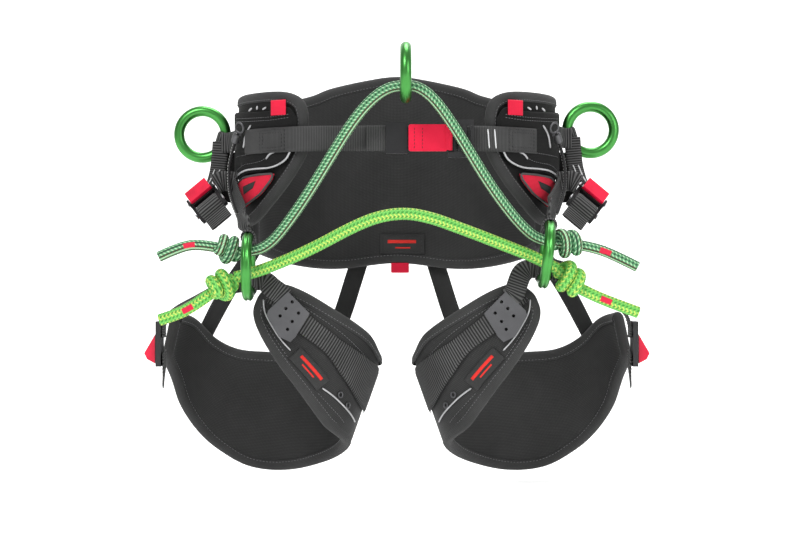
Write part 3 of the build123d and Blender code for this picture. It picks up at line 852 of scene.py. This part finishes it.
def ring(name, centre, axis, up, radius, wire, groove=0.0, rows=144, around=36):
    """A ring of round wire on its own body, with a groove turned into its outer side where asked for."""
    axis, up = Vector(axis).normalized(), Vector(up).normalized()
    side = axis.cross(up)
    verts = []
    for i in range(rows):
        turn = tau * i / rows
        out = up * cos(turn) + side * sin(turn)
        for k in range(around):
            angle = tau * k / around
            away = min(angle, tau - angle)
            r = wire - groove * (1 if away < 0.22 else 0.35 if away < 0.34 else 0)
            verts.append(Vector(centre) + out * (radius + r * cos(angle)) + axis * r * sin(angle))
    faces = grid_faces(rows, around, True, True)
    finish_piece(f"{name}_turned", verts, faces, "anodised", name, "anodised", [name])


def rings():
    ring("centre_ring", CENTRE_RING, (1, 0, 0), (0, 0, 1), RING_RADIUS, RING_WIRE)
    for side, word in SIDES.items():
        ring(f"{word}_side_ring", SIDE_RING[side], (0, 1, 0), (0, 0, 1), RING_RADIUS, RING_WIRE)
        ring(f"{word}_bridge_ring", BRIDGE[side], bridge_axis(side), (0, 1, 0), BRIDGE_RADIUS, BRIDGE_WIRE,
             0.0012)


# ---------- belt ----------

def belt_edge(layer, points, side=RIGHT, rear=False):
    return [(side * belt_angle(layer, x * MM, rear), z * MM) for x, z in points]


def back_pad():
    top = [(126, 71), (93, 79), (72, 88), (31, 98), (0, 102), (-31, 98), (-72, 88), (-93, 79), (-126, 71)]
    low = [(140, -84), (100, -95), (60, -97), (0, -91), (-60, -97), (-100, -95), (-140, -84)]
    quarter = radians(90)
    top = [(quarter, 0.074)] + belt_edge("back", top, rear=True) + [(3 * quarter, 0.074)]
    low = [(quarter, -0.076)] + belt_edge("back", low, rear=True) + [(3 * quarter, -0.076)]
    built = ladder(belt_at("back"), top, low, 110, 44, -0.0008, -0.0102, 0.006)
    padded("back_pad", built, "inside", "root", 0.0035, "back_pad_binding", 0.0094, 0.0085)


def hip(side, word):
    quarter, end = radians(90), radians(103.4)
    top = belt_edge("hip", [(88, 48), (92, 60), (104, 67), (120, 69.5), (145, 70)])
    low = belt_edge("hip", [(88, 14), (98, -4), (116, -27), (137, -49), (150, -56)])
    top, low = top + [(quarter, 0.070), (end, 0.070)], low + [(quarter, -0.059), (end, -0.060)]
    top, low = [[(side * a, z) for a, z in edge] for edge in (top, low)]
    built = ladder(belt_at("hip"), top, low, 60, 36, -0.0010, -0.0084, 0.005)
    padded(f"{word}_hip_pad", built, "pad", "root", 0.0022, f"{word}_hip_binding", 0.0078, 0.0080)

    top = belt_edge("panel", [(95, 44), (104, 55), (121, 52.5), (140, 53), (161.5, 56)], side)
    low = belt_edge("panel", [(98, 14), (110, 0), (129, -5), (146, -6), (161.5, -15)], side)
    built = ladder(belt_at("panel"), top, low, 46, 36, 0.0, -0.0029, 0.002)
    layer(f"{word}_hip_panel_cloth", built, "panel", "root", "panel", [f"{word}_hip_panel"])

    place = belt_at("insert")
    top = belt_edge("insert", [(118, -7.8), (133, -8.1), (149, -9.8), (157.5, -15.8), (162, -24)], side)
    low = belt_edge("insert", [(119.5, -13), (131, -26.6), (141, -33.6), (151, -38.8), (162, -26)], side)
    built = ladder(place, top, low, 30, 18, 0.0, -0.0032, 0.0015)
    layer(f"{word}_hip_insert_cloth", built, "deep_red", "root", "red_fabric", [f"{word}_hip_insert"])
    edge = [place(a, z, 0.0003) for a, z in top + low[::-1]]
    line = smooth_closed(evenly(edge, count=90, closed=True), 2)
    finish_piece(f"{word}_hip_insert_border", *tube(line, 0.0011, 8, closed=True), "dark_piping", "root",
                 "webbing")
    top, low = [belt_edge("insert", line, side)
                for line in ([(136, -14), (150, -19)], [(139, -21), (149, -27)])]
    wedge = ladder(place, top, low, 10, 5, 0.0004, 0.0001, 0.0002)[:2]
    finish_piece(f"{word}_hip_insert_mark", *wedge, "binding", "root", "webbing")

    top, low = [belt_edge("tab", [(106, z), (121, z)], side) for z in (62, 47.5)]
    built = ladder(belt_at("tab"), top, low, 14, 14, 0.0, -0.0020, 0.0012)
    layer(f"{word}_hip_tab_cloth", built, "red", "root", "red_fabric", [f"{word}_hip_tab"])
    hip_trim(side, word)


# (x, z) lines of light piping and of stitches on the hip panel, in millimetres
HIP_PIPING = [
    [(98, 20), (104, 7), (112, 1), (122, -2.0), (136, -2.4), (148, -3.5), (157, -8), (161.5, -14)],
    [(141, 40), (146.5, 31), (149, 19)], [(109, 19), (114, 14), (121, 11), (125, 6.5)],
    [(125, 56), (128.5, 54)], [(134, 58), (134.5, 54.5)], [(140, 56.5), (143, 54)]]
HIP_SEAMS = [
    [(103, 45), (121, 43.5), (142, 44), (159, 46)], [(103, 48), (121, 46.5), (142, 47), (159, 49)],
    [(118, 14), (128, 6), (138, 3.5), (150, 2), (159, -4)], [(132, 13), (146, 12), (159, 11)]]


def hip_trim(side, word):
    place = belt_at("panel")
    lines, seams = [[belt_edge("panel", line, side) for line in some] for some in (HIP_PIPING, HIP_SEAMS)]
    piping(f"{word}_hip_piping", place, lines, 0.0005, 0.0009, "root")
    stitching(f"{word}_hip_stitching", place, seams, 0.0002, "root")


def rear_patch():
    place = belt_at("patch")
    top, low = [belt_edge("patch", [(-18, z), (29, z)], rear=True) for z in (-62, -83)]
    built = ladder(place, top, low, 28, 14, 0.0, -0.0010, 0.0006)
    layer("rear_patch_cloth", built, "label", "root", "label", ["rear_label_patch"])
    bars = []
    for low_z, high_z, start, stop in ((-72, -68.5, -10, 20), (-77.5, -76, -2, 14)):
        top, low = [belt_edge("patch", [(start, z), (stop, z)], rear=True) for z in (high_z, low_z)]
        bars.append(ladder(place, top, low, 16, 4, -0.0009, -0.0014, 0.0002)[:2])
    finish_piece("rear_patch_mark", *join(bars), "mark", "root", "red_fabric")
    seam = belt_edge("patch", [(-15, -64), (26, -64), (26, -81), (-15, -81), (-15, -64)], rear=True)
    line = [place(a, z, -0.0011) for a, z in seam]
    finish_piece("rear_patch_stitching", *stitch_row(evenly(line, step=0.001)), "dark_thread", "root",
                 "webbing")


# ---------- straps of the belt ----------

FRONT_STRAPS = {  # (x, y) routes in millimetres
    "waist_strap_left": [(-147, -59.2), (-134, -76.8), (-120, -91.3), (-105, -102.8), (-92, -110.8),
                         (-70, -117), (-35, -119), (0, -119.6), (30, -119.4), (58, -118.2)],
    "waist_strap_right": [(66, -117.6), (78, -115.4), (92, -110.8), (105, -102.8), (120, -91.3),
                          (134, -76.8)],
    "waist_strap_tail": [(-29, -121.4), (0, -121.9), (28, -121.8), (46, -121.2)]}


def front_strap():
    for name, line in FRONT_STRAPS.items():
        stations = sided([((x, y, FRONT_STRAP_Z), (0, 0, 1)) for x, y in line], RIGHT)
        webbing(f"{name}_woven", [stations], STRAP_WIDTH, 0.0017, "root", [name], material="strap",
                pitch=0.0016, depth=0.00022)


def wire_direction(side, degrees):
    """The direction from a bridge ring's middle to its wire, from the back over the top."""
    axis, turn = bridge_axis(side), radians(degrees)
    return Vector((0, 1, 0)) * cos(turn) + Vector((-axis.z, 0, axis.x)) * sin(turn)


def wire_spot(side, degrees):
    """A point of a bridge ring's wire, with X as on the right-hand side, in millimetres."""
    spot = Vector(BRIDGE[side]) + wire_direction(side, degrees) * BRIDGE_RADIUS
    return abs(spot.x) / MM, spot.y / MM, spot.z / MM


def sleeve(side, start, sweep, rows=24, around=132):
    """Webbing folded round a bridge ring's wire, with its ribs along the wire."""
    inside, thick, depth, ribs = 0.0056, 0.0016, 0.0004, 16
    verts, uvs, heights = [], [], []
    for i in range(rows):
        out = wire_direction(side, start + sweep * i / (rows - 1))
        for k in range(around):
            angle = tau * k / around
            rib = 0.5 + 0.5 * cos(angle * ribs)
            r = inside + (thick - depth * (1 - rib) if 0 < i < rows - 1 else 0.0)
            spot = out * (BRIDGE_RADIUS + r * cos(angle)) + bridge_axis(side) * r * sin(angle)
            verts.append(Vector(BRIDGE[side]) + spot)
            uvs.append((angle * r, i * 0.001))
            heights.append(rib)
    return verts, grid_faces(rows, around, closed_columns=True), uvs, heights


def ring_webbing(side, word):
    x, y, z = wire_spot(side, RING_EXIT)
    lift = (BRIDGE[side][2] - BRIDGE[LEFT][2]) / MM
    slanted = (-0.3, -0.56, 0.76)
    run = [((x, y + 2.3, z + 4), (0, -0.96, 0.28)), ((x, y + 4.3, z + 15), (0, -0.96, 0.28)),
           ((147.5, -87, -50 + 0.8 * lift), (-0.3, -0.6, 0.6)), ((151.5, -68, -41 + 0.5 * lift), slanted),
           ((157.5, -51, -29 + 0.3 * lift), slanted), ((163, -34, -15), slanted)]
    parts = [sleeve(side, *RING_SLEEVE), strap_mesh(sided(run, side), 0.023, 0.0026)]
    woven_piece(f"{word}_ring_webbing_woven", parts, "root", [f"{word}_ring_webbing"])


def side_strap(side, word):
    x, z = abs(SIDE_RING[side][0]) / MM, SIDE_RING[side][2] / MM
    to_ring, radius = RING_RADIUS / MM, 7.9
    centre = Vector((x - to_ring * cos(HELD_AT), 0, z - to_ring * sin(HELD_AT)))
    wire_line = (-sin(HELD_AT), 0, cos(HELD_AT))
    wrap = []
    for k in range(25):
        angle = radians(-150 + 360 * k / 24)
        out = Vector((0, 1, 0)) * sin(angle) + Vector((cos(HELD_AT), 0, sin(HELD_AT))) * cos(angle)
        wrap.append((tuple(centre + out * radius), wire_line))
    fall = [((x - 19, -10.2, z - 8), (1, 0, 0.15)), ((x - 18, -11.5, z - 24), (1, 0, 0.2)),
            ((x - 16, -18, z - 40), (0.95, 0, -0.2)), ((x - 10, -33, z - 54), (0.77, 0, -0.64)),
            ((x - 5.5, -39, z - 58), (0.77, 0, -0.64))]
    webbing(f"{word}_side_strap_woven", [sided(wrap, side), sided(fall, side)], 0.016, 0.0022, "root",
            [f"{word}_side_strap"])


# ---------- leg loops ----------

def leg_edge(points, rear=False):
    return [(leg_angle(x * MM, z * MM, rear), z * MM) for x, z in points]


def leg_loop(side, word):
    body, place = f"{word}_leg_loop", leg_at(side)
    outer_end = -3 * pi / 2
    top = leg_edge([(131.7, -123.8), (115.6, -114.7), (92, -121), (54, -143), (26, -163), (15, -185)])
    top += leg_edge([(60, -190), (101, -189), (132, -187), (165, -184), (190, -172), (212, -150)], rear=True)
    low = leg_edge([(137.5, -138), (136, -148), (127.6, -166), (113.6, -187.3), (100.5, -204.4),
                    (76.2, -236.7), (60, -256), (46, -275)])
    low += leg_edge([(69, -293), (111, -304.5), (152, -302), (185, -284.5), (206, -265), (223, -237),
                     (231, -207)],
                    rear=True)
    top, low = top + [(outer_end, -0.143)], low + [(outer_end, -0.184)]
    built = ladder(place, top, low, 150, 34, -0.0008, -0.0092, 0.006)
    padded(f"{word}_leg_pad", built, "inside", body, 0.003, f"{word}_leg_binding", 0.0084, 0.0085)
    leg_webbing(side, word, body, place)
    leg_label(word, body, place)
    lines = [[(128, -128), (126, -141), (117, -158), (109.5, -168.5), (102, -177)]]
    piping(f"{word}_leg_piping", place, [leg_edge(line) for line in lines], 0.0006, 0.0007, body)
    leg_trim(word, body, place)
    outer_strap(side, word, body)
    leg_elastics(side, word, body)


def leg_webbing(side, word, body, place):
    """The band on the front of the leg loop, with its way up to the bridge ring."""
    inner = leg_edge([(114, -115), (98, -126), (82.8, -144), (64, -159.6), (50, -171), (29, -187),
                      (18, -201)])
    outer = leg_edge([(124, -131), (108, -144), (94.4, -159.6), (70, -179), (53, -204.4), (39.4, -230),
                      (35, -243)])
    band = ladder(place, inner, outer, 320, 14, 0.0028, 0.0004, 0.0008, ribs=(0.0029, 0.0005))[:4]
    x, y, z = wire_spot(side, LEG_EXIT)
    run = [((x - 6.5, y, z), (0, 0.5, 0.87)), ((x - 14, y, z), (-0.15, 0.42, 0.86)),
           ((x - 21, y - 1.5, z - 6), (-0.5, 0.1, 0.83)), ((112, -89.6, -122), (-0.6, 0, 0.8)),
           ((107, -88.0, -127), (-0.62, 0, 0.78))]
    parts = [band, sleeve(side, *LEG_SLEEVE), strap_mesh(sided(run, side), 0.020, 0.002)]
    woven_piece(f"{word}_leg_webbing_woven", parts, body, [f"{word}_leg_webbing"])


def leg_label(word, body, place):
    """The label, with two plain bars."""
    inner, outer = leg_edge([(92.2, -174), (65.3, -206.4)]), leg_edge([(103.7, -184.3), (77.8, -216)])
    built = ladder(place, inner, outer, 30, 14, 0.0016, 0.0004, 0.0006)
    layer(f"{word}_leg_label_cloth", built, "label", body, "label", [f"{word}_leg_label"])
    a, b, c, d = [Vector((*corner, 0)) for corner in inner + outer]
    bars = []
    for share, (start, stop), half in ((0.36, (0.14, 0.86), 0.10), (0.66, (0.30, 0.70), 0.05)):
        first, second = [[a.lerp(b, t).lerp(c.lerp(d, t), s).xy for t in (start, stop)]
                         for s in (share - half, share + half)]
        bars.append(ladder(place, first, second, 16, 4, 0.0020, 0.0015, 0.0002)[:2])
    finish_piece(f"{word}_leg_label_mark", *join(bars), "mark", body, "red_fabric")


def outer_strap(side, word, body):
    x, y, z = wire_spot(side, LEG_EXIT)
    tangent, level = (0, 0.5, 0.87), (0, 1, 0)
    upper = [((x + 7.0, y, z), tangent), ((x + 13, y + 1, z - 1), tangent),
             ((x + 28, y + 8, z - 5), (0, 0.7, 0.6)), ((185, -68, -121), (0, 1, 0.2)),
             ((206, -54, -131), level), ((222, -44, -142), level), ((227.5, -40, -153), level),
             ((228.2, -40, -166), level)]
    lower = [((228.2, -39, -180), level), ((228.4, -37, -192), (0, 1, 0.2)),
             ((229, -30, -200), (0, 0.8, 0.5)), ((231, -18, -205), (0, 0.5, 0.8)),
             ((233, -4.5, -206), (0, 0.1, 1))]
    webbing(f"{word}_leg_outer_strap_woven", [sided(upper, side), sided(lower, side)], STRAP_WIDTH, 0.0022,
            body, [f"{word}_leg_outer_strap"])


ELASTICS = {
    "inner": [((38, 121.6, -84), (1, 0, 0)), ((46, 116, -110), (1, 0, 0.2)), ((58, 102, -148), (1, 0, 0.2)),
              ((74, 84, -186), (1, 0.3, 0.2)), ((77, 80.5, -199), (1, 0.3, 0.2))],
    "outer": [((143, 48, -72), (0.75, -0.66, 0)), ((152, 49, -88), (0.8, -0.6, 0.2)),
              ((176, 56, -125), (0.8, -0.5, 0.3)), ((197, 62, -164), (0.75, -0.6, 0.3)),
              ((203.5, 59, -179), (0.75, -0.6, 0.3))]}


def leg_elastics(side, word, body):
    for band, stations in ELASTICS.items():
        line = sided(stations, side)
        replaced = [f"{word}_leg_elastics"] if band == "inner" else []
        made = webbing(f"{word}_{band}_elastic", [line], 0.019, 0.0016, None, replaced, material="elastic",
                       slot="elastic", pitch=0.0012, depth=0.0001)
        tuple(line[1][0])
        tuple(line[3][0])
        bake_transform(made)


LEG_SEAMS = [[(118, -125), (96, -132), (62, -154), (38, -176), (30, -186)],
             [(125, -152), (113, -171), (105, -183)], [(76, -219), (64, -233), (52, -249)]]


def leg_trim(word, body, place):
    """Stitch rows, the piping below the label and the eyelets at the foot of the leg loop's front."""
    stitching(f"{word}_leg_stitching", place, [leg_edge(seam) for seam in LEG_SEAMS], 0.0003, body)
    edge = leg_edge([(72, -214), (62, -222), (51, -234), (42, -250)])
    piping(f"{word}_leg_low_piping", place, [edge], 0.0006, 0.0008, body)
    eyelets = []
    for x, z in ((55, -221), (48, -232)):
        spot, ahead = [place(*leg_edge([(x, z)])[0], out) for out in (0.0004, 0.0020)]
        out = (ahead - spot).normalized()
        flat = out.orthogonal().normalized()
        other = out.cross(flat)
        circle = [spot + (flat * cos(tau * k / 24) + other * sin(tau * k / 24)) * 0.0026 for k in range(24)]
        eyelets.append(tube(circle, 0.0008, 8, closed=True))
    finish_piece(f"{word}_leg_eyelets", *join(eyelets), "grey_metal", body, "coated_steel")


# ---------- adjusters, buckle and small trims ----------

def adjuster_frame(side):
    """Origin and directions (across, down, out) of a hip adjuster, in metres."""
    across = Vector((side * -0.77, 0, 0.64)).normalized()
    along = Vector((side * -0.4545, -0.7045, -0.5455)).normalized()
    out = along.cross(across)
    out = -out if out.y > 0 else out
    return Vector((side * 0.183, -0.054, -0.036)), across, along, out


def adjuster(side, word):
    origin, across, down, out = adjuster_frame(side)

    def spot(d, o, sideways=0.0):
        return origin + down * d * MM + out * o * MM + across * sideways * MM

    path = [(-24, -3.4), (-14, -3.6), (-8, -1), (-3, 3.0), (3, 8.2), (9, 11.9), (14.5, 11.6), (17.6, 7.6),
            (19.4, 3.6), (24, 1.7), (35, 1.5)]
    webbing(f"{word}_adjuster_strap_woven", [[(spot(d, o), across) for d, o in path]], STRAP_WIDTH, 0.0021,
            "root", [f"{word}_adjuster_strap"])
    rivets = []
    for sign in (1, -1):
        for d, o, radius in ((-12, 6, 0.0026), (12, 7, 0.0030)):
            rivets.append(tube([spot(d, o, sign * (15 + t)) for t in (0.0, 0.8, 1.4, 1.7)], radius, 20))
    ridges = [tube([spot(d, 2.1, t) for t in range(-12, 13, 2)], 0.0005) for d in (-2.6, -0.6, 1.4)]
    finish_piece(f"{word}_adjuster_rivets", *join(rivets), "bright_metal", "root", "coated_steel")
    finish_piece(f"{word}_adjuster_ridges", *join(ridges), "grey_metal", "root", "coated_steel")


def ring_anchor(side, word):
    """Webbing that ties the side ring's wrap to the hip, the cloth behind it and the side strap's yarns."""
    x, z = abs(SIDE_RING[side][0]) / MM, SIDE_RING[side][2] / MM
    upper = [((157, -30, z - 8), (0, 0.15, 1)), ((162, -21, z - 8), (0, 0.1, 1)),
             ((x - 27, -13.5, z - 9), (0.1, 0, 1)), ((x - 20, -11.5, z - 9), (0.2, 0, 1))]
    lower = [((158, -44, -14), (0.5, 0.3, 0.8)), ((165, -42, -13), (0.6, 0.1, 0.75)),
             ((172, -40, -13), (0.7, 0, 0.7)), ((178, -42, -16), (0.75, 0, 0.65))]
    webbing(f"{word}_ring_anchor_woven", [sided(upper, side), sided(lower, side)], 0.020, 0.0020, "root")
    wing = [((164.5, -8.5, 17), (1, 0, 0)), ((164.5, -9, 0), (1, 0, 0)), ((167, -13, -16), (1, 0, 0)),
            ((171, -24, -32), (1, 0, 0))]
    webbing(f"{word}_hip_wing_woven", [sided(wing, side)], 0.016, 0.0018, "root", material="panel",
            depth=0.0001)
    yarns = []
    for shift in (-2.6, 2.6):
        route = [(x - 16.5 + shift, -18.6, z - 36), (x - 13.4 + shift, -26.6, z - 46),
                 (x - 10.4 + shift, -33.8, z - 53)]
        line = catmull([Vector((side * p[0], p[1], p[2])) * MM for p in route], 8)
        yarns.append(tube(evenly(line, step=0.001), 0.0006, 6))
    finish_piece(f"{word}_side_strap_yarns", *join(yarns), "reflective", "root", "webbing")


def strap_trim():
    """Reflective bars and sewn boxes on the front strap, its red tab's seams and the loop at the back."""
    bars = []
    for x, y in ((86.5, -113.6), (93, -110.6)):
        line = [Vector((x + 0.08 * (FRONT_STRAP_Z - z), y - 1.1, z)) * MM for z in range(15, 34, 2)]
        bars.append(tube(line, 0.0007))
    finish_piece("waist_strap_bars", *join(bars), "reflective", "root", "webbing")
    seams = [stitch_row([Vector((x, -129.5, z)) * MM for z in range(14, 35)]) for x in (16.5, 24.0)]
    finish_piece("waist_buckle_tab_seams", *join(seams), "dark_thread", "waist_buckle_tab", "webbing")
    fold = [(110.15, -92.7), (110.15, -98), (110.3, -101.5), (111.5, -102.8), (112.7, -101.5), (112.85, -98),
            (112.85, -92.7)]
    stations = sided([((3, y, z), (1, 0, 0)) for y, z in fold], RIGHT)
    webbing("rear_gear_loop_woven", [stations], 0.019, 0.0012, "root", ["rear_gear_loop"], material="red",
            slot="red_fabric", pitch=0.0014, depth=0.0001)
    boxes = []
    for side in (LEFT, RIGHT):
        for inset in (0, 3):
            start, stop, low, high = 106 + inset, 131 - inset, 14 + inset, 34 - inset
            corners = [(start, low), (stop, low), (stop, high), (start, high), (start, low)]
            points = []
            for (xa, za), (xb, zb) in zip(corners, corners[1:]):
                points += [front_strap_face(side, xa + (xb - xa) * k / 12, za + (zb - za) * k / 12)
                           for k in range(12)]
            boxes.append(stitch_row(points + [points[0]]))
    finish_piece("waist_strap_boxes", *join(boxes), "dark_thread", "root", "webbing")


def front_strap_face(side, x, z):
    """A point just outside the front strap near a hip, in metres from millimetres."""
    line = FRONT_STRAPS["waist_strap_right"][2:]
    for (xa, ya), (xb, yb) in zip(line, line[1:]):
        if x <= xb:
            break
    y = ya + (yb - ya) * (x - xa) / (xb - xa)
    return Vector((side * (x + 0.7), y - 0.9, z)) * MM


# ---------- hard parts kept from the model ----------

HARD = {
    "waist_buckle_frame": "coated", "waist_buckle_tab": "red", "strap_keeper": "black_plastic",
    "adjuster_frame": "coated", "adjuster_lever": "red_plastic",
    "cord_lock": "grey_metal", "leg_plate": "grey_metal", "leg_buckle": "coated", "leg_lever": "red_plastic"}


def hard_parts():
    for name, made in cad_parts.items():
        for ending, material in HARD.items():
            if name == ending or name.endswith(f"_{ending}"):
                made.data.materials.clear()
                made.data.materials.append(MATERIALS[material])


camera()
studio()
ropes()
rings()
back_pad()
rear_patch()
front_strap()
hard_parts()
for side, word in SIDES.items():
    hip_cord(side, word)
    hip(side, word)
    ring_webbing(side, word)
    side_strap(side, word)
    adjuster(side, word)
    ring_anchor(side, word)
    leg_loop(side, word)
strap_trim()
